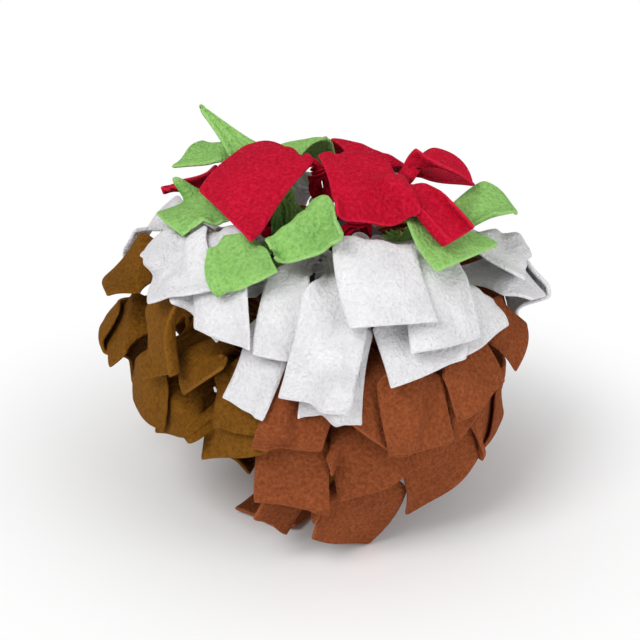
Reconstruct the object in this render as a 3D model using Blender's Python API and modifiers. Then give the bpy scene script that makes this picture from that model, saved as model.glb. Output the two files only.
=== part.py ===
"""Treat-foraging ball for a dog: fleece strips tied round the struts of a hollow rubber lattice ball.

Metres, +Z up. The origin is on the floor, straight below the middle of the ball.
A direction from the middle of the ball is a longitude (0 faces -Y, 90 faces +X) and a latitude.
"""
import math

import bmesh
import bpy
import numpy as np
from mathutils.bvhtree import BVHTree

# The rubber lattice ball
BALL_MIDDLE_HEIGHT = 0.078
STRUT_RING_RADIUS = 0.0415
STRUT_WIDTH = 0.0054

# The fleece strips
FLEECE = 0.0016
STRIP_WIDTH = 0.030
LAYER_GAP = 0.0006
HINGE_GAP = 0.0004

# The half knot: two gathered strands crossing over each other, then leaving on opposite sides
STRAND_RADIUS = 0.0022
TWIST_RADIUS = 0.0030
KNOT_HEIGHT = 0.0100
LOOP_CLEARANCE = 0.0002
NECK_WIDTH = 0.0085
NECK_RISE = 0.0024
NECK_RUN = 0.0095
BEND_RUN = 0.014
EXIT_LEAN = 0.6
MOST_LEAN = 0.8
TWIST_STEPS = 5

# The pile that the tails are laid on: a height over each of these directions
PILE_POINTS = 16000
PILE_REACH = math.radians(1.7)
PATH_POINTS = 200
SMOOTH_ROUNDS = 3
PUSH_ROUNDS = 25
OVERSHOOT = 0.0015
FLOOR_ROUNDS = 8
LOWER_ROUNDS = 10
CLEAR_ROUNDS = 12
CLEAR_STEP = 0.0003
SPARE_GAP = 0.0003

# Rings along a tail, as shares from its neck to its tip, and where it is at its full width
PHOTO_RING_SHARES = (0.0, 0.15, 0.33, 0.54, 0.77, 1.0)
PLAIN_RING_SHARES = (0.0, 0.20, 0.45, 0.72, 1.0)
FULL_WIDTH_SHARE = 0.45
STEEPEST_SHARE = 0.6
NECK_HELD_SHARE = 0.4

# A flap's hinge runs straight across this ring
HINGE_RING = 3

# How far a tail rises from root to tip over the tails below it, as a share of the strip's width
RISE_SHARE = 0.25

# The plain strips' tails droop from high knots and are tucked under the ball from low ones
PLAIN_BULGE = 0.3
PLAIN_LIFT = 0.2
LOWEST_TIP = -50
LOW_KNOT = -40
TUCKED_TIP = -64

# The height of the knots whose strips are laid first, as a share of the ball's radius
FIRST_LAID = -0.78

MIDDLE = np.array((0.0, 0.0, BALL_MIDDLE_HEIGHT))
LOOP_RADIUS = STRUT_WIDTH / math.sqrt(2) + LOOP_CLEARANCE + STRAND_RADIUS
TWIST_FOOT = STRUT_RING_RADIUS + STRUT_WIDTH / math.sqrt(2) + STRAND_RADIUS
KNOT_TOP = TWIST_FOOT + KNOT_HEIGHT
NECK_HEIGHT = KNOT_TOP + NECK_RISE + FLEECE
KNOT_REACH = (NECK_RUN + NECK_WIDTH / 2) / NECK_HEIGHT

COLOURS = {
    "rubber": (0.060, 0.075, 0.080),
    "red": (0.55, 0.004, 0.025),
    "green": (0.30, 0.58, 0.14),
    "white": (0.80, 0.80, 0.82),
    "ochre": (0.20, 0.085, 0.010),
    "rust": (0.26, 0.062, 0.018),
}

# Each strip: its colour, the longitude and latitude of its knot, and its two tails.
# A tail: longitude and latitude of its tip; bulge of its middle, lift of its tip and curl of its
# edges, as shares of the strip's width; roll of its tip in degrees; width share; 1 for a flap,
# a tail that lies free on the others and so gets a hinge across it.
PHOTO_STRIPS = (
    ("rust", 0.0, -90.0, (150, -58, 1.2, 0.9, 0, 0, 1.0, 0), (-30, -58, 1.2, 0.9, 0, 0, 1.0, 0)),
    ("rust", 10.1, -18.0, (8, -46, 0.8, 1.0, 0, 0, 0.9, 0), (-16, -40, 0.4, 0.5, 0, 10, 0.7, 0)),
    ("rust", 41.8, 0.0, (33, -34, 0.4, 0.4, 0, 0, 0.9, 0), (58, -26, 0.4, 0.3, 0, 0, 0.8, 0)),
    ("rust", 0.0, 0.0, (-8, -30, 0.3, 0.1, 0, 0, 1.0, 0), (18, -26, 0.3, 0.1, 0, 0, 0.9, 0)),
    ("ochre", -41.8, 0.0, (-54, -20, 0.4, 0.2, 0.1, 0, 0.9, 0), (-24, -19, 0.3, 0.1, 0, 0, 0.9, 0)),
    ("ochre", -71.7, 9.6, (-66, -22, 0.4, 0.1, 0, 0, 1.0, 0), (-86, -14, 0.5, 0.4, 0, 0, 0.8, 0)),
    ("ochre", -69.1, 30.0, (-84, 6, 0.6, 0.4, 0.1, 0, 0.9, 0), (-48, 0, 0.4, 0.1, 0.1, 0, 1.0, 0)),
    ("rust", 53.1, 15.6, (48, -12, 0.4, 0.1, 0, 0, 1.0, 0), (74, -2, 0.5, 0.2, 0, 0, 0.9, 0)),
    ("ochre", -31.7, 18.0, (-24, -9, 0.2, 0, 0, 0, 1.1, 0), (-50, 8, 0.3, 0.2, 0.1, 0, 0.9, 0)),
    ("rust", 10.1, 18.0, (15, -10, 0.3, 0.1, 0, 0, 1.0, 0), (-6, -12, 0.1, 0, 0, 0, 0.9, 0)),
    ("rust", 31.7, 18.0, (27, -12, 0.3, 0.1, 0, 0, 1.0, 0), (48, -1, 0.4, 0.1, 0.1, 0, 0.9, 0)),
    ("white", -19.3, 35.4, (-22, 1, 0.1, 0, 0, 0, 0.9, 0), (-44, 14, 0.4, 0.1, 0.1, 0, 0.8, 0)),
    ("white", 19.3, 35.4, (5, -1, 0.1, 0, 0, 0, 1.0, 0), (30, 6, 0.2, 0.1, 0, 0, 1.1, 0)),
    ("white", -90.0, 41.8, (-74, 22, 0.4, 0.1, 0.1, 0, 0.9, 0), (-106, 14, 0.3, 0.3, 0, 0, 1.0, 0)),
    ("white", 69.1, 30.0, (52, 8, 0.4, 0, 0.1, 0, 1.0, 0), (86, 4, 0.4, 0.5, 0, 0, 1.0, 0)),
    ("white", 90.0, 41.8, (82, 17, 0.4, 0.1, 0, 0, 1.0, 0), (114, 12, 0.1, 0, 0, 0, 1.0, 0)),
    ("white", 0.0, 48.2, (-19, 14, 0.1, 0, 0, 0, 0.9, 0), (-2, 4, 0.2, 0.1, 0, 0, 1.0, 1)),
    ("white", -65.0, 50.3, (-31, 19, 0.2, 0.1, 0, 0, 1.0, 0), (-58, 20, 0.3, 0.1, 0, 0, 0.9, 1)),
    ("white", 31.7, 54.0, (39, 14, 0.2, 0.1, 0, 0, 1.0, 0), (18, 21, 0.2, 0.1, 0, 0, 1.1, 1)),
    ("green", -31.7, 54.0, (-26, 29, 0.1, 0.1, 0, 0, 1.0, 0), (-1, 42, 0.1, 0.3, 0, 0, 0.9, 0)),
    ("green", -61.7, 69.4, (-103, 60, 0.1, 0.9, 0.1, 0, 0.6, 0), (-62, 41, 0.1, 0.1, 0, 0, 0.9, 0)),
    ("red", -115.0, 50.3, (-84, 44, 0.3, 0.2, 0, 0, 0.8, 0), (-138, 26, 0, 0, 0, 0, 1.0, 0)),
    ("green", 65.0, 50.3, (46, 31, 0.3, 0.1, 0, 0, 1.0, 0), (74, 28, 0.4, 0.1, 0, 0, 1.0, 1)),
    ("red", 61.7, 69.4, (45, 40, 0.3, 0.2, 0, 0, 0.9, 0), (88, 52, 0.7, 0.1, 0.1, 0, 0.9, 0)),
    ("red", 118.3, 69.4, (104, 42, 0.1, 0.1, 0, 0, 0.9, 0), (160, 38, 0.1, 0.1, 0, 0, 1.0, 0)),
    ("green", -118.3, 69.4, (-130, 42, 0.1, 0, 0, 0, 0.9, 0), (-168, 42, 0.1, 0, 0, 0, 1.0, 0)),
    ("red", 0.0, 90.0, (-43, 49, 0.3, 0.2, 0, 0, 1.2, 1), (20, 52, 0.3, 0.2, 0, 0, 1.1, 1)),
)

# The strips of the sides, back and underside, which the photo doesn't show: colour and knot
PLAIN_STRIPS = (
    ("rust", 180.0, -48.2),
    ("rust", 180.0, 0.0),
    ("white", 180.0, 48.2),
    ("rust", 90.0, 0.0),
    ("ochre", -90.0, -41.8),
    ("rust", 65.0, -50.3),
    ("ochre", -31.7, -54.0),
    ("ochre", -126.9, -15.6),
    ("rust", 110.9, -30.0),
    ("ochre", -108.3, 9.6),
    ("rust", 126.9, 15.6),
    ("ochre", -148.3, 18.0),
    ("rust", 169.9, 18.0),
    ("white", -110.9, 30.0),
    ("white", 110.9, 30.0),
)


def direction(longitude, latitude):
    """The unit vector at a longitude and latitude in degrees."""
    lon, lat = math.radians(longitude), math.radians(latitude)
    return np.array((math.sin(lon) * math.cos(lat), -math.cos(lon) * math.cos(lat), math.sin(lat)))


def unit(vectors):
    return vectors / np.linalg.norm(vectors, axis=-1, keepdims=True)


def turned(vector, axis, angle):
    """A vector turned about a unit axis by an angle."""
    along = axis * np.dot(axis, vector)
    across = vector - along
    return along + across * math.cos(angle) + np.cross(axis, across) * math.sin(angle)


def eased(share):
    share = np.clip(share, 0, 1)
    return share * share * (3 - 2 * share)


def lattice_corners():
    """The 60 corners of a football lattice, each a third of the way along an icosahedron's edge."""
    golden = (1 + math.sqrt(5)) / 2
    tips = []
    for one in (-1, 1):
        for long in (-golden, golden):
            tips += [(0, long, one), (one, 0, long), (long, one, 0)]
    tips = np.array(tips, float)
    apart = np.linalg.norm(tips[:, None] - tips[None], axis=2)
    near = np.argwhere((apart > 1) & (apart < golden + 1))
    near = near[apart[near[:, 0], near[:, 1]] < apart[apart > 0].min() * golden / 1.1]
    return unit((2 * tips[near[:, 0]] + tips[near[:, 1]]) / 3)


def strut_middles(corners):
    """Each strut's middle and its run, as unit vectors, from the top row down."""
    apart = np.linalg.norm(corners[:, None] - corners[None], axis=2)
    edge = apart[apart > 0].min()
    found = []
    for a, b in np.argwhere((apart > 0) & (apart < edge * 1.1)):
        if a < b:
            found.append((unit(corners[a] + corners[b]), unit(corners[b] - corners[a])))
    found.sort(key=lambda s: (-round(s[0][2], 3), round(math.atan2(s[0][0], -s[0][1]), 3)))
    return found


class Pile:
    """How far out the cloth laid so far reaches, over directions spread evenly round the ball."""

    def __init__(self):
        number = np.arange(PILE_POINTS) + 1 / 2
        z = 1 - 2 * number / PILE_POINTS
        turn = math.pi * (1 + math.sqrt(5)) * number
        flat = np.sqrt(1 - z * z)
        self.over = np.stack((flat * np.cos(turn), flat * np.sin(turn), z), axis=1)
        self.height = np.zeros(PILE_POINTS)

    def near(self, directions):
        """The pile's points round some directions, and which of them is close to which direction."""
        middle = unit(directions.mean(axis=0))
        widest = math.acos(np.clip((directions @ middle).min(), -1, 1)) + 2 * PILE_REACH
        points = np.flatnonzero(self.over @ middle > math.cos(widest))
        return points, directions @ self.over[points].T > math.cos(PILE_REACH)

    def top(self, directions):
        """The highest cloth near each direction."""
        points, close = self.near(directions)
        return np.where(close, self.height[points], 0).max(axis=1)

    def add(self, directions, heights):
        points, close = self.near(directions)
        reached = np.where(close, heights[:, None], 0).max(axis=0)
        self.height[points] = np.maximum(self.height[points], reached)


def knot_tops(directions, knots):
    """The highest knot near each direction, from a list of the knots' directions."""
    close = directions @ np.array(knots).T > math.cos(KNOT_REACH + PILE_REACH)
    return np.where(close, NECK_HEIGHT, 0).max(axis=1)


def between(rings, per_ring, per_width):
    """Shares of a tail's grid points in each of the evenly spread samples on it."""
    along = np.linspace(0, rings - 1, (rings - 1) * per_ring + 1)
    across = np.linspace(0, 2, per_width)
    ring = np.clip(1 - abs(along[:, None] - np.arange(rings)), 0, 1)
    side = np.clip(1 - abs(across[:, None] - np.arange(3)), 0, 1)
    return np.einsum("ai,bj->abij", ring, side).reshape(-1, rings * 3)


class Tail:
    """One tail: a grid of rings along it and three points across, over the pile below it."""

    def __init__(self, knot, exit_way, tip, bulge, lift, curl, roll, width, flap, shares):
        shares = np.array(shares)
        self.knot = knot
        self.flap = flap
        self.shares = shares
        leave = knot + exit_way * BEND_RUN / NECK_HEIGHT
        share = np.linspace(0, 1, PATH_POINTS)[:, None]
        path = unit((1 - share) ** 2 * knot + 2 * share * (1 - share) * leave + share**2 * tip)
        steps = np.linalg.norm(np.diff(path, axis=0), axis=1)
        gone = np.concatenate(((0,), np.cumsum(steps)))
        neck = NECK_RUN / NECK_HEIGHT
        places = neck + (gone[-1] - neck) * shares
        self.over = unit(np.stack([np.interp(places, gone, path[:, k]) for k in range(3)], axis=1))
        ahead = np.gradient(path, gone, axis=0)
        self.run = unit(np.stack([np.interp(places, gone, ahead[:, k]) for k in range(3)], axis=1))
        self.side = unit(np.cross(self.run, self.over))
        spread = eased((shares - shares[0]) / (FULL_WIDTH_SHARE - shares[0]))
        self.half = (NECK_WIDTH + (STRIP_WIDTH * width - NECK_WIDTH) * spread) / 2
        self.thick = FLEECE * (2 - eased((shares - shares[0]) / (shares[2] - shares[0])))[:, None]
        self.roll = math.radians(roll) * eased(shares)
        out = STRIP_WIDTH * (RISE_SHARE * shares + bulge * np.sin(np.pi * shares) + lift * shares**3)
        across = np.array((-1.0, 0.0, 1.0))
        tilt = across * (self.half * np.sin(self.roll))[:, None]
        cup = curl * STRIP_WIDTH * across**2 * eased(shares)[:, None]
        self.own = NECK_HEIGHT + out[:, None] + tilt + cup
        self.own[0] = NECK_HEIGHT
        self.across = across
        self.height = self.own.copy()
        self.deep = self.thick * np.ones(3)

    def directions(self):
        """The direction of each point of the grid, at its present height."""
        half = self.half * np.cos(self.roll)
        middle = self.height[:, 1]
        return unit(
            self.over[:, None] * middle[:, None, None]
            + self.side[:, None] * (self.across * half[:, None])[:, :, None]
        )

    def outer(self):
        return self.directions() * self.height[:, :, None]

    def measure_depth(self):
        """The cloth's thickness along each point's direction, more where the cloth is steep."""
        points = self.outer()
        along = np.gradient(points, axis=0)
        across = np.gradient(points, axis=1)
        upright = abs((unit(np.cross(along, across)) * self.directions()).sum(axis=2))
        self.deep = self.thick / np.maximum(upright, STEEPEST_SHARE)

    def floor(self):
        """No point goes below the floor."""
        for _ in range(FLOOR_ROUNDS):
            down = np.maximum(-self.directions()[:, :, 2], 1e-9)
            self.height = np.minimum(self.height, BALL_MIDDLE_HEIGHT / down)

    def straighten(self):
        """A flap's hinge line is made straight by lifting its ends and, if they are high, its middle."""
        if self.flap:
            left, middle, right = self.height[HINGE_RING]
            width = self.half[HINGE_RING] * math.cos(self.roll[HINGE_RING])
            lean = math.cos(math.atan(width / middle))
            middle = max(middle, left * lean, right * lean)
            ends = math.hypot(middle, width)
            self.height[HINGE_RING] = ends, middle, ends

    def pushed(self, weights, need):
        """The grid lifted, a little at a time, until its samples reach the heights they need."""
        height = self.height.copy()
        most = np.where(weights > 0.05, need[:, None], 0).max(axis=0).reshape(height.shape)
        most = np.maximum(most + OVERSHOOT, height)
        for _ in range(PUSH_ROUNDS):
            short = np.maximum(need - weights @ height.ravel(), 0)
            lift = (weights * short[:, None]).max(axis=0).reshape(height.shape)
            lift[0] = 0
            height = np.minimum(height + lift, most)
        return height

    def settle(self, pile, knots):
        """Lift the grid until the cloth clears what lies below it, then ease its bumps and lift again."""
        rings = len(self.shares)
        weights = between(rings, 8, 13)
        for smooth in range(SMOOTH_ROUNDS):
            if smooth:
                eased_height = self.height.copy()
                eased_height[1:-1] = (self.height[:-2] + 2 * self.height[1:-1] + self.height[2:]) / 4
                eased_height[1:-1] = (eased_height[1:-1] + eased_height[1:-1].mean(1, keepdims=True)) / 2
                self.height[1:-1] = eased_height[1:-1]
            self.measure_depth()
            samples = unit(weights @ self.directions().reshape(-1, 3))
            below = np.maximum(pile.top(samples), knot_tops(samples, knots))
            need = below + LAYER_GAP + weights @ self.deep.ravel()
            need[weights[:, :3].sum(axis=1) > NECK_HELD_SHARE] = 0
            self.height = self.pushed(weights, need)
            held = weights > 0.05
            for _ in range(LOWER_ROUNDS):
                spare = (weights @ self.height.ravel() - need)[:, None]
                room = np.where(held, spare / np.maximum(weights, 0.05), 1.0).min(axis=0)
                room = np.maximum(room.reshape(self.height.shape), 0)
                lower = np.maximum(self.height - room / 3, np.minimum(self.own, self.height))
                lower[0] = self.height[0]
                self.height = lower
            self.height = self.pushed(weights, need)
            self.floor()
            self.straighten()
        self.measure_depth()

    def add_to(self, pile):
        weights = between(len(self.shares), 8, 13)
        samples = unit(weights @ self.directions().reshape(-1, 3))
        pile.add(samples, weights @ self.height.ravel())

    def rings(self, spare=0):
        """The six corners of the cloth at each ring: across its outer face, and back across its inner."""
        outer = MIDDLE + self.outer()
        outer[:, :, 2] = np.where(outer[:, :, 2] < LAYER_GAP, 0, outer[:, :, 2])
        inner = outer - self.directions() * (self.deep[:, :, None] + spare)
        return np.concatenate((outer, inner[:, ::-1]), axis=1)

    def fixed_rings(self):
        """The rings from the neck to the tip, or to just short of the hinge."""
        rings = self.rings()
        if self.flap:
            shift = self.hinge_shift(rings)
            rings = rings[: HINGE_RING + 1].copy()
            rings[-1] -= shift
        return rings

    def flap_rings(self):
        """The rings from just past the hinge to the tip."""
        rings = self.rings()
        shift = self.hinge_shift(rings)
        rings = rings[HINGE_RING:].copy()
        rings[0] += shift
        return rings

    def hinge_shift(self, rings):
        """Half the gap at the hinge, as a step square to the hinge line."""
        line = unit(rings[HINGE_RING, 2] - rings[HINGE_RING, 0])
        ahead = rings[HINGE_RING + 1, 1] - rings[HINGE_RING - 1, 1]
        return HINGE_GAP / 2 * unit(ahead - line * (line @ ahead))


def rope_ring(place, run, up):
    """Four corners round a gathered strand: left, up, right and down."""
    right = unit(np.cross(run, up))
    up = unit(np.cross(right, run))
    return place + STRAND_RADIUS * np.array((-right, up, right, -up))


def strand(knot, foot_side, outwards):
    """Rings up one strand of the knot, from the foot of the twist to where its tail leaves."""
    turn = math.atan2(np.dot(np.cross(foot_side, outwards), knot), np.dot(foot_side, outwards))
    turn %= 2 * math.pi
    rings = []
    for step in range(TWIST_STEPS + 1):
        share = step / TWIST_STEPS
        out = turned(foot_side, knot, turn * share)
        around = np.cross(knot, out) * TWIST_RADIUS * turn * math.sin(math.pi * share)
        place = MIDDLE + knot * (TWIST_FOOT + KNOT_HEIGHT * share) + out * TWIST_RADIUS
        rings.append(rope_ring(place, unit(knot * KNOT_HEIGHT + around / 2), -out))
    rise = knot + outwards
    bend = MIDDLE + knot * (KNOT_TOP + NECK_RISE * 0.6) + outwards * (TWIST_RADIUS + STRAND_RADIUS)
    rings.append(rope_ring(bend, unit(rise), unit(knot - outwards)))
    return rings


def loop(knot, side):
    """Rings of the strip's middle, passing under the strut from one side to the other."""
    rings = []
    for share in np.linspace(0, 1, 5):
        out = side * math.cos(math.pi * share) - knot * math.sin(math.pi * share)
        run = -side * math.sin(math.pi * share) - knot * math.cos(math.pi * share)
        rings.append(rope_ring(MIDDLE + knot * STRUT_RING_RADIUS + out * LOOP_RADIUS, run, -out))
    return rings


def reversed_ring(ring):
    """A ring met from the other end: its left and right change places."""
    return ring[[2, 1, 0, 3]] if len(ring) == 4 else ring[[2, 1, 0, 5, 4, 3]]


def skin(rings):
    """Corners and triangles of one closed skin over a row of rings of four or six corners."""
    begins = np.cumsum([0] + [len(ring) for ring in rings])
    faces = []
    for one, two, low, high in zip(rings[:-1], rings[1:], begins[:-1], begins[1:]):
        if len(one) == len(two):
            for k in range(len(one)):
                j = (k + 1) % len(one)
                if len(one) == 6 and k in (3, 4):
                    faces += [(low + k, low + j, high + k), (low + j, high + j, high + k)]
                else:
                    faces += [(low + k, low + j, high + j), (low + k, high + j, high + k)]
            continue
        four, six = (low, high) if len(one) == 4 else (high, low)
        wall = [(0, 11, 6), (0, 6, 7), (0, 7, 1), (1, 7, 8), (1, 8, 2)]
        wall += [(2, 8, 9), (2, 9, 10), (2, 10, 3), (3, 10, 11), (3, 11, 0)]
        for face in wall:
            corners = [six + k - 6 if k > 5 else four + k for k in face]
            faces.append(corners if len(one) == 4 else corners[::-1])
    for row, turn in ((begins[0], -1), (begins[-2], 1)):
        for face in ((0, 1, 5), (1, 4, 5), (1, 2, 4), (2, 3, 4)):
            faces.append([row + k for k in face[::turn]])
    return np.concatenate(rings), [tuple(int(k) for k in face) for face in faces]


def loft(name, rings, colour):
    """One piece of cloth: a closed skin over a row of rings."""
    mesh = bmesh.new()
    corners, faces = skin(rings)
    corners = [mesh.verts.new(corner) for corner in corners]
    for face in faces:
        mesh.faces.new([corners[k] for k in face])
    bmesh.ops.recalc_face_normals(mesh, faces=mesh.faces)
    data = bpy.data.meshes.new(name)
    mesh.to_mesh(data)
    mesh.free()
    data.materials.append(material(colour))
    piece = bpy.data.objects.new(name, data)
    ball_parts.objects.link(piece)
    return piece


def material(colour):
    """A plain finish in one of the named colours."""
    found = bpy.data.materials.get(colour)
    if found is None:
        found = bpy.data.materials.new(colour)
        found.use_nodes = True
        shader = found.node_tree.nodes["Principled BSDF"]
        shader.inputs["Base Color"].default_value = (*COLOURS[colour], 1)
        shader.inputs["Roughness"].default_value = 0.9
        shader.inputs["Metallic"].default_value = 0
    return found


def lattice_ball(corners):
    """The moulded ball: a football's edges, thickened into struts."""
    mesh = bmesh.new()
    for corner in corners * STRUT_RING_RADIUS:
        mesh.verts.new(corner)
    bmesh.ops.convex_hull(mesh, input=mesh.verts)
    bmesh.ops.dissolve_limit(mesh, angle_limit=math.radians(5), verts=mesh.verts, edges=mesh.edges)
    data = bpy.data.meshes.new("lattice_ball")
    mesh.to_mesh(data)
    mesh.free()
    data.materials.append(material("rubber"))
    ball = bpy.data.objects.new("lattice_ball", data)
    ball.location = MIDDLE
    ball_parts.objects.link(ball)
    struts = ball.modifiers.new("struts", "WIREFRAME")
    struts.thickness = STRUT_WIDTH
    struts.use_even_offset = True
    return ball


class Strip:
    """A strip of fleece: its knot round a strut, and its two tails."""

    def __init__(self, colour, strut, tail_shapes, shares):
        self.colour = colour
        self.knot, self.run = strut
        tips = [direction(*shape[:2]) for shape in tail_shapes]
        ways = [unit(tip - self.knot * (tip @ self.knot)) for tip in tips]
        exits = unit(ways[0] - ways[1])
        reaches = [math.acos(tip @ self.knot) for tip in tips]
        leans = [min(EXIT_LEAN / reach, MOST_LEAN) * way for reach, way in zip(reaches, ways)]
        leaving = (unit(exits + leans[0]), unit(leans[1] - exits))
        self.tails = [
            Tail(self.knot, way, tip, *shape[2:], shares)
            for way, tip, shape in zip(leaving, tips, tail_shapes)
        ]
        side = unit(np.cross(self.run, self.knot))
        if np.dot(side, exits) > 0:
            side = -side
        first = strand(self.knot, side, leaving[0])
        second = strand(self.knot, -side, leaving[1])
        middle = [reversed_ring(r) for r in reversed(first)] + loop(self.knot, side) + second
        self.middle = middle

    def rings(self):
        """The whole strip's rings but for its flaps', from the tip of one tail to that of the other."""
        one, two = self.tails
        return [reversed_ring(r) for r in one.fixed_rings()[::-1]] + self.middle + list(two.fixed_rings())

    def knot_skin(self):
        """The knot with the first ring of each tail."""
        one, two = self.tails
        return skin([reversed_ring(one.rings()[0])] + self.middle + [two.rings()[0]])

    def covers(self, other):
        """Whether either tail passes over another strip's knot."""
        for tail in self.tails:
            samples = unit(between(len(tail.shares), 4, 7) @ tail.directions().reshape(-1, 3))
            if (samples @ other.knot).max() > math.cos(KNOT_REACH):
                return True
        return False

    def lay(self, pile, others, below):
        """Settle both tails on the pile, then lift them wherever they still touch what is below."""
        for tail in self.tails:
            tail.settle(pile, [other.knot for other in others])
            tree = tree_of(below)
            for _ in range(CLEAR_ROUNDS):
                corners, faces = skin(tail.rings(SPARE_GAP))
                touched = {n for n, _ in BVHTree.FromPolygons(corners.tolist(), faces).overlap(tree)}
                for ring, place in {divmod(corner, 6) for n in touched for corner in faces[n]}:
                    if ring > 0:
                        tail.height[ring, place if place < 3 else 5 - place] += CLEAR_STEP
                tail.straighten()
                if not touched:
                    break
            tail.floor()
            tail.add_to(pile)
            below = below + [skin(tail.rings())]
        return below


def tree_of(skins):
    """One search tree over many skins."""
    corners = []
    faces = []
    for places, sides in skins:
        faces += [tuple(k + len(corners) for k in side) for side in sides]
        corners += places.tolist()
    return BVHTree.FromPolygons(corners, faces)


for thing in list(bpy.data.objects):
    bpy.data.objects.remove(thing, do_unlink=True)
ball_parts = bpy.data.collections.new("foraging_ball")
bpy.context.scene.collection.children.link(ball_parts)

CORNERS = lattice_corners()
STRUTS = strut_middles(CORNERS)
lattice_ball(CORNERS)


def plain_tails(longitude, latitude, k):
    """Two tails drooping to either side of a knot, or tucked under the ball from a low one."""
    tails = []
    for sign in (-1, 1):
        vary = math.sin(7 * k + 2 * sign)
        widen = sign * (24 + 4 * vary) / math.cos(math.radians(latitude))
        low = max(latitude - 36 - 5 * vary, LOWEST_TIP)
        bulge, lift = PLAIN_BULGE, PLAIN_LIFT
        if latitude < LOW_KNOT:
            widen, low, bulge, lift = sign * 34, TUCKED_TIP, 0, 0.1
        tails.append((longitude + widen, low, bulge, lift, 0, 0, 1.0, 0))
    return tails


def nearest_strut(longitude, latitude):
    """The number of the strut whose middle is nearest to a longitude and latitude."""
    want = direction(longitude, latitude)
    return max(range(len(STRUTS)), key=lambda n: float(STRUTS[n][0] @ want))


def tied_strips():
    """Every strip with its name, tied but not yet laid."""
    strips = []
    for colour, longitude, latitude, *tails in PHOTO_STRIPS:
        k = nearest_strut(longitude, latitude)
        strips.append(Strip(colour, STRUTS[k], tails, PHOTO_RING_SHARES))
    for colour, longitude, latitude in PLAIN_STRIPS:
        k = nearest_strut(longitude, latitude)
        tails = plain_tails(longitude, latitude, k)
        strips.append(Strip(colour, STRUTS[k], tails, PLAIN_RING_SHARES))
    count = {}
    for strip in strips:
        count[strip.colour] = count.get(strip.colour, 0) + 1
        strip.name = f"{strip.colour}_strip_{count[strip.colour]}"
    return strips


def make_strips():
    """Lay every strip, from the low ones up, each after those whose knots it covers."""
    waiting = sorted(tied_strips(), key=lambda strip: abs(strip.knot[2] - FIRST_LAID))
    covered = {strip: {other for other in waiting if strip.covers(other)} - {strip} for strip in waiting}
    knots = {strip: strip.knot_skin() for strip in waiting}
    pile = Pile()
    cloth = []
    laid = {}
    while waiting:
        strip = min(waiting, key=lambda s: len(covered[s] & set(waiting)))
        waiting.remove(strip)
        others = [other for other in knots if other is not strip]
        fresh = strip.lay(pile, others, cloth + [knots[other] for other in others])
        cloth += fresh[-2:]
        loft(strip.name, strip.rings(), strip.colour)
        for letter, tail in zip("ab", strip.tails):
            if tail.flap:
                loft(f"{strip.name}_flap_{letter}", tail.flap_rings(), strip.colour)
        laid[strip.name] = strip
    return laid


def stand_centrally():
    """Move everything sideways so that the toy's overall width and depth are centred on the origin."""
    bpy.context.view_layer.update()
    pieces = list(ball_parts.objects)
    corners = np.array([piece.matrix_world @ v.co for piece in pieces for v in piece.data.vertices])
    shift = -(corners.min(axis=0) + corners.max(axis=0)) / 2
    shift[2] = 0
    for piece in pieces:
        piece.location = np.array(piece.location) + shift
    return shift


LAID = make_strips()
SHIFT = stand_centrally()
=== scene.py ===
"""A treat-foraging ball for a dog: fleece strips tied round the struts of a hollow rubber lattice ball."""
import math

import bpy
import numpy as np
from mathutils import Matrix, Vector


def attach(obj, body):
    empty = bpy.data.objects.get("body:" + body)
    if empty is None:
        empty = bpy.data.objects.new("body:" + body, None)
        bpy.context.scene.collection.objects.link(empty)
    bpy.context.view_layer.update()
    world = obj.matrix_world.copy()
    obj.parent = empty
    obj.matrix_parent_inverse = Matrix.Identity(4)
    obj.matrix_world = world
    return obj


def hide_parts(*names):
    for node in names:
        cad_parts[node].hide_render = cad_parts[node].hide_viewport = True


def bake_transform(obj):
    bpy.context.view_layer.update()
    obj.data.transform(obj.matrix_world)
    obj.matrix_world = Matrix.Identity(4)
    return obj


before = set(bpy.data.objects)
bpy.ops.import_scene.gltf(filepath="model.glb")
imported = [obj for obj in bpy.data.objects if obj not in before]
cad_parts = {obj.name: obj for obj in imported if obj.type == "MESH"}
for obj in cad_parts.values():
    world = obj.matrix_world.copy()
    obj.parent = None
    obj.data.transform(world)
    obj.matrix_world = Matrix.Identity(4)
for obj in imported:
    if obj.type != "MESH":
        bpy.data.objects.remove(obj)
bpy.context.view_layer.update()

# The rubber ball: one moulding, a football's edges as thick struts in matt grey-black rubber.
# Its solid already has the moulded form, so it only gets its rubber. The fleece hides nearly all of it.


def node_tree(name):
    """A new material's nodes and links, with its shader."""
    made = bpy.data.materials.new(name)
    made.use_nodes = True
    tree = made.node_tree
    return made, tree, tree.nodes["Principled BSDF"]


def noise(tree, size, detail=2.0, roughness=0.5):
    """A noise over the object's own coordinates, with bumps of about the given size in metres."""
    place = tree.nodes.new("ShaderNodeTexCoord")
    made = tree.nodes.new("ShaderNodeTexNoise")
    made.inputs["Scale"].default_value = 1 / size
    made.inputs["Detail"].default_value = detail
    made.inputs["Roughness"].default_value = roughness
    tree.links.new(place.outputs["Object"], made.inputs["Vector"])
    return made.outputs["Fac"]


def ramp(tree, value, stops):
    """A colour for each value, from (place, colour) stops."""
    made = tree.nodes.new("ShaderNodeValToRGB")
    band = made.color_ramp
    while len(band.elements) < len(stops):
        band.elements.new(0.5)
    for element, (place, colour) in zip(band.elements, stops):
        element.position = place
        element.color = (*colour, 1)
    tree.links.new(value, made.inputs["Fac"])
    return made.outputs["Color"]


def bump(tree, shader, height, strength, distance):
    """Raise the surface by a height, over a distance in metres."""
    made = tree.nodes.new("ShaderNodeBump")
    made.inputs["Strength"].default_value = strength
    made.inputs["Distance"].default_value = distance
    tree.links.new(height, made.inputs["Height"])
    tree.links.new(made.outputs["Normal"], shader.inputs["Normal"])


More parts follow.
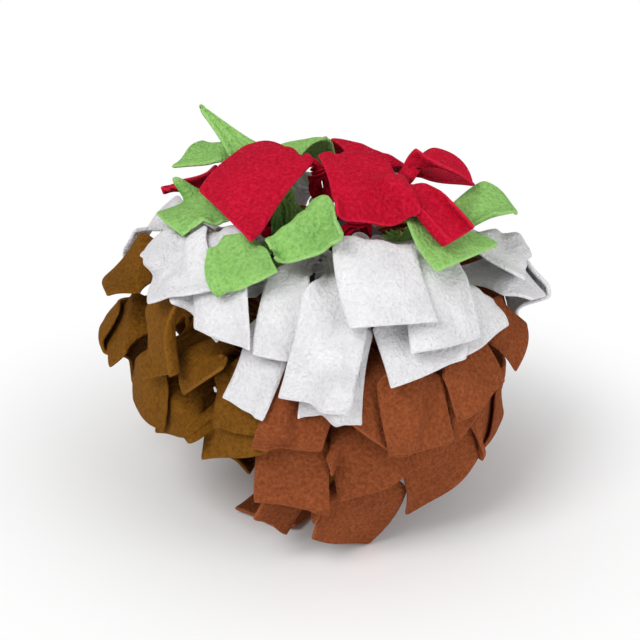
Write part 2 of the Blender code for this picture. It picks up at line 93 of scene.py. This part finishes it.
rubber, tree, shader = node_tree("moulded rubber")
shader.inputs["Roughness"].default_value = 0.62
shader.inputs["Specular IOR Level"].default_value = 0.35
grain = noise(tree, 0.004, 4.0)
rubber_tones = [(0.3, (0.045, 0.052, 0.056)), (0.7, (0.075, 0.085, 0.090))]
tree.links.new(ramp(tree, grain, rubber_tones), shader.inputs["Base Color"])
bump(tree, shader, noise(tree, 0.0008), 0.25, 0.0002)
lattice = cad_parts["lattice_ball"]
lattice.data.materials.clear()
lattice.data.materials.append(rubber)

# The brown strips: fleece cut about 30 mm wide, each tied in a half knot round a strut so that its two
# tails hang out. Ochre brown on the left and rust brown on the right, they are the lower half. Each
# tail lies on the tails below it, and the lowest are tucked in under the ball.

ball_points = np.array([lattice.matrix_world @ corner.co for corner in lattice.data.vertices])
BALL_MIDDLE = (ball_points.min(axis=0) + ball_points.max(axis=0)) / 2
STRUT_RING = 0.0415
LOOP_RADIUS = 0.0067

# The cloth, with its pile, and the play between two layers of it
STRIP_WIDTH = 0.030
FLEECE = 0.0019
LAYER_GAP = 0.0004
FLOOR_GAP = 0.0001

# The half knot: two gathered strands that twist round each other, and the neck where a tail begins.
# Heights are from the ball's middle.
STRAND = 0.0028
TWIST = 0.0031
TWIST_FOOT = 0.0475
KNOT_RISE = 0.010
KNOT_BEND = 0.014
NECK_HEIGHT = 0.0615
NECK_RUN = 0.0095
NECK_WIDTH = 0.0092

# How a tail leaves its plane: pleats at the neck, soft folds along it, edges that flutter
PLEAT_DEPTH = 0.0019
FOLD_DEPTH = 0.0010
FLUTTER_DEPTH = 0.0013

# Shares of a tail: flat part of its half width within a rolled edge, and straight part of its length
# before a curled tip
ROLLED_FROM = 0.4
CURLED_FROM = 0.6

# Grid lines along and across a tail, the corners of a ring round the cloth, and the directions in
# which the height of the pile is kept
ALONG = 34
ACROSS = 17
AROUND = 2 * ACROSS + 2
PATH_STEPS = 200
PILE_POINTS = 60000


def direction(longitude, latitude):
    """The unit vector at a longitude and latitude in degrees; longitude 0 faces -Y and 90 faces +X."""
    lon, lat = np.radians(longitude), np.radians(latitude)
    return np.stack((np.sin(lon) * np.cos(lat), -np.cos(lon) * np.cos(lat), np.sin(lat) + 0 * lon), -1)


def unit(vectors):
    """Each vector over its own length."""
    return vectors / np.linalg.norm(vectors, axis=-1, keepdims=True)


def eased(share):
    """A smooth step from 0 to 1: three times the square less twice the cube."""
    share = np.clip(share, 0, 1)
    return share * share * (3 - 2 * share)


class Pile:
    """The height of the topmost cloth over directions spread evenly round the ball's middle.

    They lie on a spiral: each is one equal step lower than the last and turned by the golden angle.
    """

    def __init__(self):
        number = np.arange(PILE_POINTS) + 0.5
        z = 1 - 2 * number / PILE_POINTS
        turn = math.pi * (1 + math.sqrt(5)) * number
        flat = np.sqrt(1 - z * z)
        self.over = np.stack((flat * np.cos(turn), flat * np.sin(turn), z), axis=1)
        self.height = np.zeros(len(z))
        self.reach = math.cos(math.radians(1.3))

    def near(self, directions):
        """The pile's points round some directions, and which of them is close to which direction."""
        middle = unit(directions.mean(axis=0))
        widest = math.acos(np.clip((directions @ middle).min(), -1, 1)) + 0.05
        points = np.flatnonzero(self.over @ middle > math.cos(min(widest, math.pi)))
        return points, directions @ self.over[points].T > self.reach

    def top(self, directions):
        """The highest cloth near each direction."""
        points, close = self.near(directions.reshape(-1, 3))
        return np.where(close, self.height[points], 0).max(axis=1).reshape(directions.shape[:-1])

    def add(self, directions, heights):
        """Raise the pile to the heights of new cloth, where they are higher."""
        points, close = self.near(directions.reshape(-1, 3))
        reached = np.where(close, heights.reshape(-1, 1), 0).max(axis=0)
        self.height[points] = np.maximum(self.height[points], reached)


def smoothed(grid):
    """Each point of the grid moved halfway to the mean of its neighbours, with the neck left as it is."""
    wide = np.pad(grid, 1, mode="edge")
    wide[-1] = 2 * wide[-2] - wide[-3]
    mean = (wide[:-2, 1:-1] + wide[2:, 1:-1] + wide[1:-1, :-2] + wide[1:-1, 2:]) / 4
    mean = (mean + grid) / 2
    mean[0] = grid[0]
    return mean


def rolled(share, turn):
    """How far along and how far out a strip gets that rolls up evenly: the sine and cosine of an arc."""
    turn = np.where(abs(turn) < 1e-3, 1e-3, turn)
    return np.sin(turn * share) / turn, (1 - np.cos(turn * share)) / turn


class Tail:
    """One tail of a strip, as a grid of points on its middle surface.

    Its middle line is a curve on the sphere from the knot to the tip, leaving along its strand. It
    rises steeply from the neck over the share called rise and opens to its full width there, then goes
    over to the height of its tip by the square of the share. Pleats fade from the neck, soft folds run
    down it, and its edges and tip may roll up; wherever the pile is higher it lies on the pile. The
    slant turns the cut at its end, the tilt banks its middle to one side, both in degrees, and the
    point narrows it towards the end.
    """

    def __init__(self, knot, leave, shape, seed, pile, neck_height):
        tip_lon, tip_lat, width, middle, end, *more = shape
        turns = more[0] if more else {}
        left, right, curl = (turns.get(key, 0) for key in ("left", "right", "curl"))
        rise = turns.get("rise", 0.3)
        chance = np.random.default_rng(seed)
        tip = direction(tip_lon, tip_lat)
        control = knot + leave * KNOT_BEND / neck_height
        s = np.linspace(0, 1, PATH_STEPS)[:, None]
        path = unit((1 - s) ** 2 * knot + 2 * s * (1 - s) * control + s**2 * tip)
        gone = np.concatenate(((0,), np.cumsum(np.linalg.norm(np.diff(path, axis=0), axis=1))))
        neck = NECK_RUN / neck_height
        share = np.linspace(0, 1, ALONG)
        curled = 1 - CURLED_FROM
        in_curl = np.clip((share - CURLED_FROM) / curled, 0, 1)
        on, up = rolled(in_curl, math.radians(curl))
        place = neck + (gone[-1] - neck) * (np.minimum(share, CURLED_FROM) + curled * on)
        over = unit(np.stack([np.interp(place, gone, path[:, k]) for k in range(3)], axis=1))
        ahead = np.gradient(path, gone, axis=0)
        run = unit(np.stack([np.interp(place, gone, ahead[:, k]) for k in range(3)], axis=1))
        side = unit(np.cross(run, over))
        u = np.linspace(-1, 1, ACROSS)
        half = (NECK_WIDTH + (STRIP_WIDTH * width - NECK_WIDTH) * eased(share / rise)) / 2
        half *= 1 - turns.get("point", 0) * share**2
        rim = np.clip((abs(u) - ROLLED_FROM) / (1 - ROLLED_FROM), 0, 1)
        turn = np.where(u < 0, left, right) * eased((share - 0.15) / 0.6)[:, None]
        sideways, outwards = rolled(rim, np.radians(turn))
        flat_part = np.minimum(abs(u), ROLLED_FROM)
        across = np.sign(u) * half[:, None] * (flat_part + (1 - ROLLED_FROM) * sideways)
        reach = (gone[-1] - neck) * neck_height * 1.3
        rolls = half[:, None] * (1 - ROLLED_FROM) * outwards + (curled * reach * up)[:, None]
        full = (middle + (end - middle) * share**2) / 1000
        steep = 1 - (1 - np.minimum(share / rise, 1)) ** 2
        base = neck_height + (full - neck_height) * steep
        phase = chance.uniform(0, 2 * math.pi, 3)
        fuller = STRIP_WIDTH * width / (2 * half) - 1
        depth = np.minimum(PLEAT_DEPTH, 4 * half / 5 / math.pi * np.sqrt(np.maximum(fuller, 0)))
        pleat = depth[:, None] * np.cos(2.5 * math.pi * u + phase[0] / 3)
        bend = np.sin(2.4 * u + 2.5 * share[:, None] + phase[1])
        fold = FOLD_DEPTH * eased(share / 0.4)[:, None] * bend
        flutter = FLUTTER_DEPTH * u**2 * np.sin(5 * share[:, None] + 1.5 * u + phase[2])
        bank = math.radians(turns.get("tilt", 0)) * np.sin(math.pi * share)[:, None]
        loose = (fold + flutter) * eased(share / 0.2)[:, None]
        own = base[:, None] + across * np.sin(bank) + pleat + loose
        self.share, self.run, self.side, self.width = share, run, side, width
        self.kept = width * (1 - turns.get("point", 0) / 3)
        self.over, self.across = over, across * np.cos(bank)
        slope = math.tan(math.radians(turns.get("slant", 0)))
        self.ahead = across * slope * eased((share - 0.2) / 0.8)[:, None]
        height = self.laid(own, pile) + rolls
        pile.add(self.directions(height), height)
        self.grid = BALL_MIDDLE + self.directions(height) * height[..., None]

    def laid(self, own, pile):
        """Its own height, or that of the pile below where it is higher, smoothed. The neck sinks in."""
        height = own
        for _ in range(4):
            below = pile.top(self.directions(height)) + LAYER_GAP + FLEECE
            below = below * eased(0.4 + self.share / 0.15)[:, None]
            height = smoothed(smoothed(smoothed(np.maximum(own, below))))
            height = self.above_floor(smoothed(np.maximum(height, below)))
        return height

    def directions(self, height):
        """The direction of each point of the grid at a height."""
        return unit(
            self.over[:, None] * height[..., None]
            + self.side[:, None] * self.across[..., None]
            + self.run[:, None] * self.ahead[..., None]
        )

    def above_floor(self, height):
        """The height, or less where the point would lie below the floor."""
        down = np.maximum(-self.directions(height)[..., 2], 1e-9)
        return np.minimum(height, (BALL_MIDDLE[2] - 3 * FLOOR_GAP) / down)

    def rings(self):
        """The cloth round the grid: a closed ring of corners at each step along the tail.

        Each ring goes over the top of the cloth, round its cut edge and back below. It thickens from
        the neck, and the last ring is thinner and stands a little further out, as a rounded cut end.
        """
        along = np.gradient(self.grid, axis=0)
        across = np.gradient(self.grid, axis=1)
        out = unit(np.cross(across, along))
        thick = FLEECE * (0.7 + 0.3 * eased(self.share / 0.3))[:, None, None]
        middle = self.grid - out * thick / 2
        edge = unit(across) * thick * 0.45
        upper = middle + out * thick / 2
        lower = middle - out * thick / 2
        right = middle[:, -1:] + edge[:, -1:]
        left = middle[:, :1] - edge[:, :1]
        rings = np.concatenate((upper, right, lower[:, ::-1], left), axis=1)
        ahead = unit(along[-1:]) * FLEECE * 0.45
        rows = middle[-1:] + ahead
        last_up = rows + out[-1:] * FLEECE * 0.25
        last_down = rows - out[-1:] * FLEECE * 0.25
        right = rows[:, -1:] + edge[-1:, -1:] * 0.6
        left = rows[:, :1] - edge[-1:, :1] * 0.6
        last = np.concatenate((last_up, right, last_down[:, ::-1], left), axis=1)
        rings = np.concatenate((rings, last))
        rings[..., 2] = np.maximum(rings[..., 2], FLOOR_GAP)
        return rings


def gathered(place, run, up, lobes):
    """Rings round a gathered strand: circles with lobes, the edges of the pleats, round each place."""
    right = unit(np.cross(run, up))
    up = unit(np.cross(right, run))
    angle = math.pi - 2 * math.pi * (np.arange(AROUND) + 1) / AROUND
    size = STRAND * (0.77 + 0.37 * np.cos(6 * angle + lobes[:, None]))
    flat = right[:, None] * np.cos(angle)[:, None] + up[:, None] * np.sin(angle)[:, None]
    return place[:, None] + size[..., None] * flat


def strand(knot, foot, leave, lift):
    """Rings up one strand of the half knot: a turn of a helix round the knot's axis, then a bend.

    The lift is how much higher than the other knots it sits above its strut.
    """
    turn = math.atan2(np.dot(np.cross(foot, leave), knot), np.dot(foot, leave)) % (2 * math.pi)
    share = np.linspace(0, 1, 6)[:, None]
    out = foot * np.cos(turn * share) + np.cross(knot, foot) * np.sin(turn * share)
    risen = TWIST_FOOT + KNOT_RISE * share + lift * eased(share / 0.4)
    place = BALL_MIDDLE + knot * risen + out * TWIST
    around = np.cross(knot, out) * TWIST * turn * np.sin(math.pi * share)
    run = unit(knot * KNOT_RISE + around / 2)
    bend = BALL_MIDDLE + knot * (risen[-1] + 0.0014) + leave * (TWIST + STRAND)
    place = np.concatenate((place, bend[None]))
    run = np.concatenate((run, unit(knot + leave)[None]))
    up = np.concatenate((-out, unit(knot - leave)[None]))
    return gathered(place, run, up, np.linspace(0, 4, 7))


def under_strut(knot, strut, side):
    """Rings of the strip's middle, half a circle under the strut."""
    share = np.linspace(0, math.pi, 5)[:, None]
    out = side * np.cos(share) - knot * np.sin(share)
    run = -side * np.sin(share) - knot * np.cos(share)
    place = BALL_MIDDLE + knot * STRUT_RING + out * LOOP_RADIUS
    return gathered(place, run, -out, np.linspace(-2, 0, 5))


def turned_back(rings):
    """The same rings met from the other end: their order, and left and right, change places."""
    corner = np.arange(AROUND)
    other = (ACROSS - 1 - corner) % AROUND
    return rings[::-1, other]


def finer(rings, steps):
    """Rings between the second and the last but one, on a curve through all (Catmull-Rom)."""
    s = (np.arange(steps) / steps)[None, :, None, None]
    a, b, c, d = (rings[k : len(rings) - 3 + k, None] for k in range(4))
    curve = 2 * b + (c - a) * s + (2 * a - 5 * b + 4 * c - d) * s**2 + (3 * b - a - 3 * c + d) * s**3
    return np.concatenate(((curve / 2).reshape(-1, *rings.shape[1:]), rings[-2:-1]))


def cloth(name, rings, finish):
    """One closed skin of cloth: quads between neighbouring rings, and a row of quads over each end."""
    count = len(rings)
    ring, corner = np.meshgrid(np.arange(count - 1), np.arange(AROUND), indexing="ij")
    here, there = ring * AROUND, (ring + 1) * AROUND
    after = (corner + 1) % AROUND
    walls = np.stack((here + corner, here + after, there + after, there + corner), -1).reshape(-1, 4)
    j = np.arange(-1, ACROSS)
    opposite = (2 * ACROSS - j) % AROUND
    end = np.stack((j % AROUND, j + 1, (opposite - 1) % AROUND, opposite), -1)[1:-1]
    corners = np.array(((ACROSS - 1, ACROSS, ACROSS + 1), (0, AROUND - 2, AROUND - 1)))
    last = (count - 1) * AROUND
    faces = [*walls.tolist(), *(end + last).tolist(), *(corners + last).tolist()]
    faces += [*end[:, ::-1].tolist(), *corners[:, ::-1].tolist()]
    mesh = bpy.data.meshes.new(name)
    mesh.from_pydata(rings.reshape(-1, 3).tolist(), [], faces)
    mesh.polygons.foreach_set("use_smooth", np.ones(len(faces), bool))
    cut = np.zeros((count, AROUND))
    cut[:, (ACROSS, AROUND - 1)] = 1
    cut[(0, -1), :] = 1
    mesh.attributes.new("cut_edge", "FLOAT", "POINT").data.foreach_set("value", cut.ravel())
    mesh.materials.append(finish)
    piece = bpy.data.objects.new(name, mesh)
    bpy.context.scene.collection.objects.link(piece)
    rounding = piece.modifiers.new("rounding", "SUBSURF")
    rounding.levels = rounding.render_levels = 1
    return piece


def length_of(rings):
    """The length of the line through the middles of the rings."""
    return np.linalg.norm(np.diff(rings.mean(axis=1), axis=0), axis=1).sum()


def tie(name, finish, knot_at, bearing, shapes, flaps="", lift=0):
    """A strip tied round the strut under knot_at, with its two tails laid on the pile.

    A strip with a hinged flap is drawn as two halves that meet under the strut; a half with a flap
    stays apart from the ball's body, and the flap's own part is hidden.
    """
    knot = direction(*knot_at)
    east = np.array((1.0, 0, 0)) if abs(knot[2]) > 0.999 else unit(np.cross((0, 0, 1), knot))
    strut = east * math.cos(math.radians(bearing))
    strut = strut + np.cross(knot, east) * math.sin(math.radians(bearing))
    tips = [direction(*shape[:2]) for shape in shapes]
    ways = [unit(tip - knot * (tip @ knot)) for tip in tips]
    apart = unit(ways[0] - ways[1])
    leans = [min(0.6 / math.acos(tip @ knot), 0.8) * way for tip, way in zip(tips, ways)]
    leaves = unit(apart + leans[0]), unit(leans[1] - apart)
    seed = round(abs(knot_at[0]) * 10 + abs(knot_at[1]) * 100 + (knot_at[0] < 0) * 7)
    neck = NECK_HEIGHT + lift
    tails = [Tail(knot, *pair, seed + n, pile, neck) for n, pair in enumerate(zip(leaves, shapes))]
    side = unit(np.cross(strut, knot))
    side = -side if side @ apart > 0 else side
    one, two = (tail.rings() for tail in tails)
    first = turned_back(strand(knot, side, leaves[0], lift))
    second = strand(knot, -side, leaves[1], lift)
    loop = under_strut(knot, strut, side)
    middle = np.concatenate((turned_back(one[:2]), first, loop, second, two[:2]))
    steps = 3
    rings = np.concatenate((turned_back(one[1:]), finer(middle, steps), two[1:]))
    halfway = len(one) - 1 + steps * (len(first) + 2)
    parts = [rings[: halfway + 1], rings[halfway:]] if flaps else [rings]
    for n, part in enumerate(parts):
        piece = cloth(f"{name}_{'ab'[n]}" if flaps else f"{name}_cloth", part, finish)
        own = tails[n : n + 1] if flaps else tails
        hanging = sum(length_of(tail.rings()) for tail in own)
        trimmed = sum(STRIP_WIDTH * (1 - tail.kept) * length_of(tail.rings()) for tail in own)
        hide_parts(name)
        flap = f"{name}_flap_{'ab'[n]}"
        if flaps and "ab"[n] in flaps:
            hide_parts(flap)
            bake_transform(piece)
        else:
            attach(piece, "ball")


def fleece(name, shade, cloth_colour, light):
    """Brushed fleece: pebbled pile, with painted shade between its tufts and a painted highlight on their
    tops, and broad rubbed patches.

    The cut edges and the ends are mixed over to the cloth's lightest tone.
    """
    made, tree, shader = node_tree(name)
    shader.inputs["Roughness"].default_value = 0.95
    shader.inputs["Specular IOR Level"].default_value = 0.1
    shader.inputs["Sheen Weight"].default_value = 0.12
    shader.inputs["Sheen Roughness"].default_value = 0.6
    shader.inputs["Sheen Tint"].default_value = (*light, 1)
    # One noise is both the bump's height and the colour: painted shade in the hollows between the tufts
    # and a painted highlight on their tops, round the cloth's own colour.
    tufts = noise(tree, 0.0015, 3.0, 0.6)
    painted_tuft_shading = ramp(tree, tufts, [(0.30, shade), (0.5, cloth_colour), (0.75, light)])
    worn = ramp(tree, noise(tree, 0.018, 2.0), [(0.35, (0.90,) * 3), (0.65, (1.04,) * 3)])
    blend = tree.nodes.new("ShaderNodeMix")
    blend.data_type = "RGBA"
    blend.blend_type = "MULTIPLY"
    blend.inputs["Factor"].default_value = 1
    tree.links.new(painted_tuft_shading, blend.inputs["A"])
    tree.links.new(worn, blend.inputs["B"])
    # The cut edges and the ends of each strip are paler: mixed over to the lightest tone.
    cut = tree.nodes.new("ShaderNodeAttribute")
    cut.attribute_name = "cut_edge"
    paler = tree.nodes.new("ShaderNodeMix")
    paler.data_type = "RGBA"
    tree.links.new(cut.outputs["Fac"], paler.inputs["Factor"])
    tree.links.new(blend.outputs["Result"], paler.inputs["A"])
    paler.inputs["B"].default_value = (*light, 1)
    tree.links.new(paler.outputs["Result"], shader.inputs["Base Color"])
    bump(tree, shader, tufts, 1.0, 0.0016)
    return made


pile = Pile()
ochre = fleece("ochre fleece", (0.135, 0.052, 0.004), (0.185, 0.072, 0.006), (0.235, 0.098, 0.012))
rust = fleece("rust fleece", (0.185, 0.045, 0.013), (0.250, 0.064, 0.020), (0.330, 0.095, 0.036))

# Each strip: colour and number, place of its knot, bearing of its strut, and its two tails. A tail:
# longitude and latitude of its tip, width share, heights of its middle and tip from the ball's middle in
# millimetres, and, where it has any, its slant, tilt, point and rise as Tail says, and the turn in
# degrees of a rolled left or right edge or of a curled tip.
BROWN = (
    ("rust_strip_11", (65, -50.3), 52, (31, -62, 1, 66, 73), (99, -62, 1, 66, 73)),
    ("ochre_strip_6", (-31.7, -54), 32, (-66, -62, 1, 66, 73), (2, -62, 1, 67, 76)),
    ("rust_strip_8", (180, -48.2), 0, (146, -62, 1, 66, 73), (-146, -62, 1, 66, 73)),
    ("ochre_strip_5", (-90, -41.8), 0, (-124, -60, 1, 70, 76), (-57, -60, 1.1, 70, 75)),
    ("rust_strip_1", (180, -90), 0, (150, -58, 1, 82, 91), (-30, -58, 1, 82, 91)),
    ("rust_strip_12", (110.9, -30), 69, (86, -44, 1.3, 76, 83), (136, -44, 1.3, 76, 86)),
    ("rust_strip_2", (10.1, -18), 148, (7, -45, 1.2, 86, 99, {"slant": -13}),
     (-16, -40, 0.6, 80, 95, {"slant": -35})),
    ("ochre_strip_7", (-126.9, -15.6), 161, (-144, -42, 1.3, 76, 83), (-103, -44, 1.3, 76, 83)),
    ("rust_strip_3", (41.8, 0), 90, (40, -33, 1.1, 82, 93, {"slant": 30}), (60, -26, 0.9, 79, 86)),
    ("rust_strip_4", (0, 0), 90, (-8, -28, 0.95, 80, 94, {"slant": -15}),
     (15, -25, 1, 78, 90, {"slant": 15})),
    ("ochre_strip_1", (-41.8, 0), 90, (-46, -17, 1.1, 79, 87, {"slant": -10}),
     (-25, -17, 1.1, 78, 87, {"slant": 5})),
    ("rust_strip_9", (180, 0), 90, (158, -34, 1.3, 77, 84), (-158, -32, 1.3, 77, 84, {"slant": -12})),
    ("rust_strip_10", (90, 0), 0, (68, -32, 1.1, 80, 86), (112, -32, 1.3, 77, 83)),
    ("ochre_strip_2", (-71.7, 9.6), 55, (-60, -17, 1.1, 81, 88), (-84, -7, 1, 82, 93)),
    ("ochre_strip_8", (-108.3, 9.6), 125, (-136, -20, 1.3, 77, 83, {"slant": -12}),
     (-92, -20, 1.2, 82, 86)),
    ("rust_strip_5", (53.1, 15.6), 19, (46, -8, 0.9, 78, 88, {"slant": 25}),
     (70, 0, 0.7, 79, 88, {"slant": 20})),
    ("rust_strip_13", (126.9, 15.6), 161, (104, -14, 1.3, 78, 83, {"slant": 12}), (150, -18, 1.3, 76, 82)),
    ("ochre_strip_4", (-31.7, 18), 32, (-20, -8, 1, 76, 86, {"slant": 9}),
     (-33, 4, 0.8, 79, 86, {"slant": -15})),
    ("rust_strip_6", (10.1, 18), 32, (12, -6, 1.1, 78, 90, {"slant": -20}),
     (-9, -11, 0.85, 78, 87, {"slant": 15})),
    ("rust_strip_7", (31.7, 18), 148, (26, -13, 0.95, 80, 90, {"slant": -16}),
     (45, -5, 0.9, 80, 90, {"slant": 15})),
    ("ochre_strip_9", (-148.3, 18), 148, (-175, -11, 1.3, 77, 81, {"slant": -12}),
     (-126, -18, 1.3, 79, 85)),
    ("rust_strip_14", (169.9, 18), 148, (143, -18, 1.3, 78, 84, {"slant": 12}), (-161, -14, 1.3, 78, 85)),
    ("ochre_strip_3", (-69.1, 30), 111, (-83, 13, 1, 82, 93, {"slant": 10}),
     (-44, 3, 1, 82, 88, {"left": 100})),
)

for name, knot_at, bearing, *shapes in BROWN:
    tie(name, ochre if name.startswith("ochre") else rust, knot_at, bearing, shapes)

# The white strips: the same fleece and knots in a ring above the middle of the ball, the icing.
# Their tails hang down over the brown ones, and the free ends of three of them are hinged flaps.
white = fleece("white fleece", (0.70, 0.69, 0.71), (0.76, 0.75, 0.77), (0.82, 0.81, 0.83))
WHITE = (
    ("white_strip_4", (69.1, 30), 69, (50, 10, 1, 79, 86, {"slant": 20}), (76, 12, 1.1, 85, 94)),
    ("white_strip_10", (-110.9, 30), 69, (-132, -2, 1.2, 79, 85, {"slant": 12}), (-108, 4, 1, 80, 84)),
    ("white_strip_11", (110.9, 30), 111, (88, 0, 1, 80, 83), (126, -2, 1.2, 78, 84, {"slant": -12})),
    ("white_strip_1", (-19.3, 35.4), 83, (-20, 0, 0.6, 76, 87, {"slant": 5}),
     (-38, 20, 0.8, 78, 82, {"slant": -20})),
    ("white_strip_2", (19.3, 35.4), 97, (2, -1, 0.75, 76, 84, {"slant": 8}),
     (28, 8, 1.1, 76, 87, {"slant": 14})),
    ("white_strip_3", (-90, 41.8), 0, (-62, 28, 0.5, 80, 87, {"slant": -30}), (-106, 14, 1, 82, 88)),
    ("white_strip_5", (90, 41.8), 0, (80, 20, 1.1, 80, 90, {"slant": -10}), (114, 12, 1, 74, 80)),
    ("white_strip_6", (0, 48.2), 0, (-12, 14, 0.55, 74, 85, {"slant": -14}),
     (-2, 4, 0.85, 78, 89, {"slant": 11}), "b"),
    ("white_strip_9", (180, 48.2), 0, (154, 6, 1.25, 78, 84), (-160, 10, 1.25, 78, 84, {"slant": 12})),
    ("white_strip_8", (31.7, 54), 32, (34, 14, 1.05, 80, 89, {"slant": 12}),
     (19, 22, 1.1, 83, 90, {"slant": -11, "rise": 0.2}), "b"),
    ("white_strip_7", (-65, 50.3), 52, (-27, 17, 0.75, 82, 88, {"slant": -25}),
     (-40, 25, 1, 82, 91, {"slant": -28}), "b"),
)

for name, knot_at, bearing, one, two, *flaps in WHITE:
    tie(name, white, knot_at, bearing, (one, two), *flaps)

# The green and red strips: leaves and berries of the same fleece on the icing. A green tail stands up
# like a spike at the left, one arches at the front, and two lie at the right as flat leaves. The red
# strip on the topmost strut is tied last: its tails bow up from the knot and hang over all the others.
green = fleece("green fleece", (0.20, 0.42, 0.10), (0.27, 0.53, 0.14), (0.36, 0.64, 0.21))
red = fleece("red fleece", (0.40, 0.002, 0.016), (0.52, 0.004, 0.026), (0.64, 0.014, 0.050))
TOP = (
    ("green_strip_3", (65, 50.3), 128, (47, 33, 1.25, 84, 92),
     (74, 36, 0.95, 85, 95, {"slant": 10, "tilt": -25}), "b"),
    ("green_strip_1", (-31.7, 54), 148, (-22, 31, 0.8, 82, 88, {"rise": 0.6, "slant": -8}),
     (-2, 40, 0.95, 84, 78, {"left": 120, "curl": 60}), ""),
    ("red_strip_1", (-115, 50.3), 128, (-80, 45, 0.7, 79, 88, {"point": 0.4}),
     (-138, 26, 1.15, 73, 79), ""),
    ("red_strip_3", (118.3, 69.4), 118, (104, 46, 0.9, 78, 84), (158, 36, 1.15, 75, 80), ""),
    ("red_strip_2", (61.7, 69.4), 62, (43, 38, 0.7, 86, 92, {"left": 130, "right": 130}),
     (71, 55, 0.9, 84, 90, {"slant": -20, "tilt": -15}), ""),
    ("green_strip_4", (-118.3, 69.4), 62, (-104, 50, 0.8, 82, 90), (-170, 36, 1.15, 75, 80), ""),
    ("green_strip_2", (-61.7, 69.4), 118, (-106, 60, 0.6, 74, 101, {"point": 0.9}),
     (-64, 39, 1, 76, 86, {"slant": 20}), ""),
    ("red_strip_4", (180, 90), 0, (-41, 48, 1.2, 82, 86, {"slant": -30, "tilt": 8, "rise": 0.25}),
     (21, 49, 0.95, 82, 83, {"slant": -4, "rise": 0.25}), "ab"),
)

# The topmost knot sits higher than the others, on the strips below it
TOP_KNOT_LIFT = 0.010

for name, knot_at, bearing, one, two, flaps in TOP:
    lift = TOP_KNOT_LIFT if name == "red_strip_4" else 0
    tie(name, green if name.startswith("green") else red, knot_at, bearing, (one, two), flaps, lift)

# The floor, the light and the camera: a plain white floor that keeps the toy's shadow and goes over
# into pure white further out, soft light from all round with a broad lamp above at the left, and the
# photograph's view from a little above.


def lamp(name, place, size, power):
    """A broad square lamp that points at the ball's middle."""
    data = bpy.data.lights.new(name, "AREA")
    data.size = size
    data.energy = power
    made = bpy.data.objects.new(name, data)
    made.location = place
    aim = Vector(BALL_MIDDLE) - Vector(place)
    made.rotation_euler = aim.to_track_quat("-Z", "Y").to_euler()
    bpy.context.scene.collection.objects.link(made)


floor_mesh = bpy.data.meshes.new("floor")
reach = 3.0
corners = [(-reach, -reach, 0), (reach, -reach, 0), (reach, reach, 0), (-reach, reach, 0)]
floor_mesh.from_pydata(corners, [], [(0, 1, 2, 3)])
floor = bpy.data.objects.new("floor", floor_mesh)
bpy.context.scene.collection.objects.link(floor)
floor_finish, tree, shader = node_tree("white floor")
shader.inputs["Base Color"].default_value = (0.92, 0.92, 0.92, 1)
shader.inputs["Roughness"].default_value = 1
shader.inputs["Specular IOR Level"].default_value = 0
place = tree.nodes.new("ShaderNodeTexCoord")
away = tree.nodes.new("ShaderNodeVectorMath")
away.operation = "LENGTH"
tree.links.new(place.outputs["Object"], away.inputs[0])
fading = tree.nodes.new("ShaderNodeMapRange")
fading.interpolation_type = "SMOOTHSTEP"
fading.inputs["From Min"].default_value = 0.08
fading.inputs["From Max"].default_value = 0.22
tree.links.new(away.outputs["Value"], fading.inputs["Value"])
seen = tree.nodes.new("ShaderNodeLightPath")
far = tree.nodes.new("ShaderNodeMath")
far.operation = "MULTIPLY"
tree.links.new(fading.outputs["Result"], far.inputs[0])
tree.links.new(seen.outputs["Is Camera Ray"], far.inputs[1])
glow = tree.nodes.new("ShaderNodeEmission")
mixed = tree.nodes.new("ShaderNodeMixShader")
tree.links.new(far.outputs["Value"], mixed.inputs["Fac"])
tree.links.new(shader.outputs["BSDF"], mixed.inputs[1])
tree.links.new(glow.outputs["Emission"], mixed.inputs[2])
tree.links.new(mixed.outputs["Shader"], tree.nodes["Material Output"].inputs["Surface"])
floor_mesh.materials.append(floor_finish)

world = bpy.data.worlds.new("studio")
bpy.context.scene.world = world
world.use_nodes = True
tree = world.node_tree
backdrop = tree.nodes["Background"]
path = tree.nodes.new("ShaderNodeLightPath")
seen = tree.nodes.new("ShaderNodeMath")
seen.operation = "MAXIMUM"
tree.links.new(path.outputs["Is Camera Ray"], seen.inputs[0])
tree.links.new(path.outputs["Is Glossy Ray"], seen.inputs[1])
level = tree.nodes.new("ShaderNodeMapRange")
level.inputs["To Min"].default_value = 0.51
level.inputs["To Max"].default_value = 1.0
tree.links.new(seen.outputs[0], level.inputs["Value"])
tree.links.new(level.outputs["Result"], backdrop.inputs["Strength"])
backdrop.inputs["Color"].default_value = (1, 1, 1, 1)

lamp("key lamp", (-0.5, -0.7, 1.0), 0.6, 9.5)
lamp("fill lamp", (0.8, -0.6, 0.5), 0.8, 4)

lens = bpy.data.cameras.new("camera")
lens.lens = 79
lens.sensor_width = 36
PHOTO_WIDTH = 640
lens.shift_x = -2 / PHOTO_WIDTH
lens.shift_y = -5 / PHOTO_WIDTH
camera = bpy.data.objects.new("camera", lens)
tilt = math.radians(25)
CAMERA_DISTANCE = 0.60
camera.location = BALL_MIDDLE + CAMERA_DISTANCE * np.array((0, -math.cos(tilt), math.sin(tilt)))
camera.rotation_euler = (math.pi / 2 - tilt, 0, 0)
bpy.context.scene.collection.objects.link(camera)
bpy.context.scene.camera = camera
bpy.context.scene.view_settings.view_transform = "Standard"
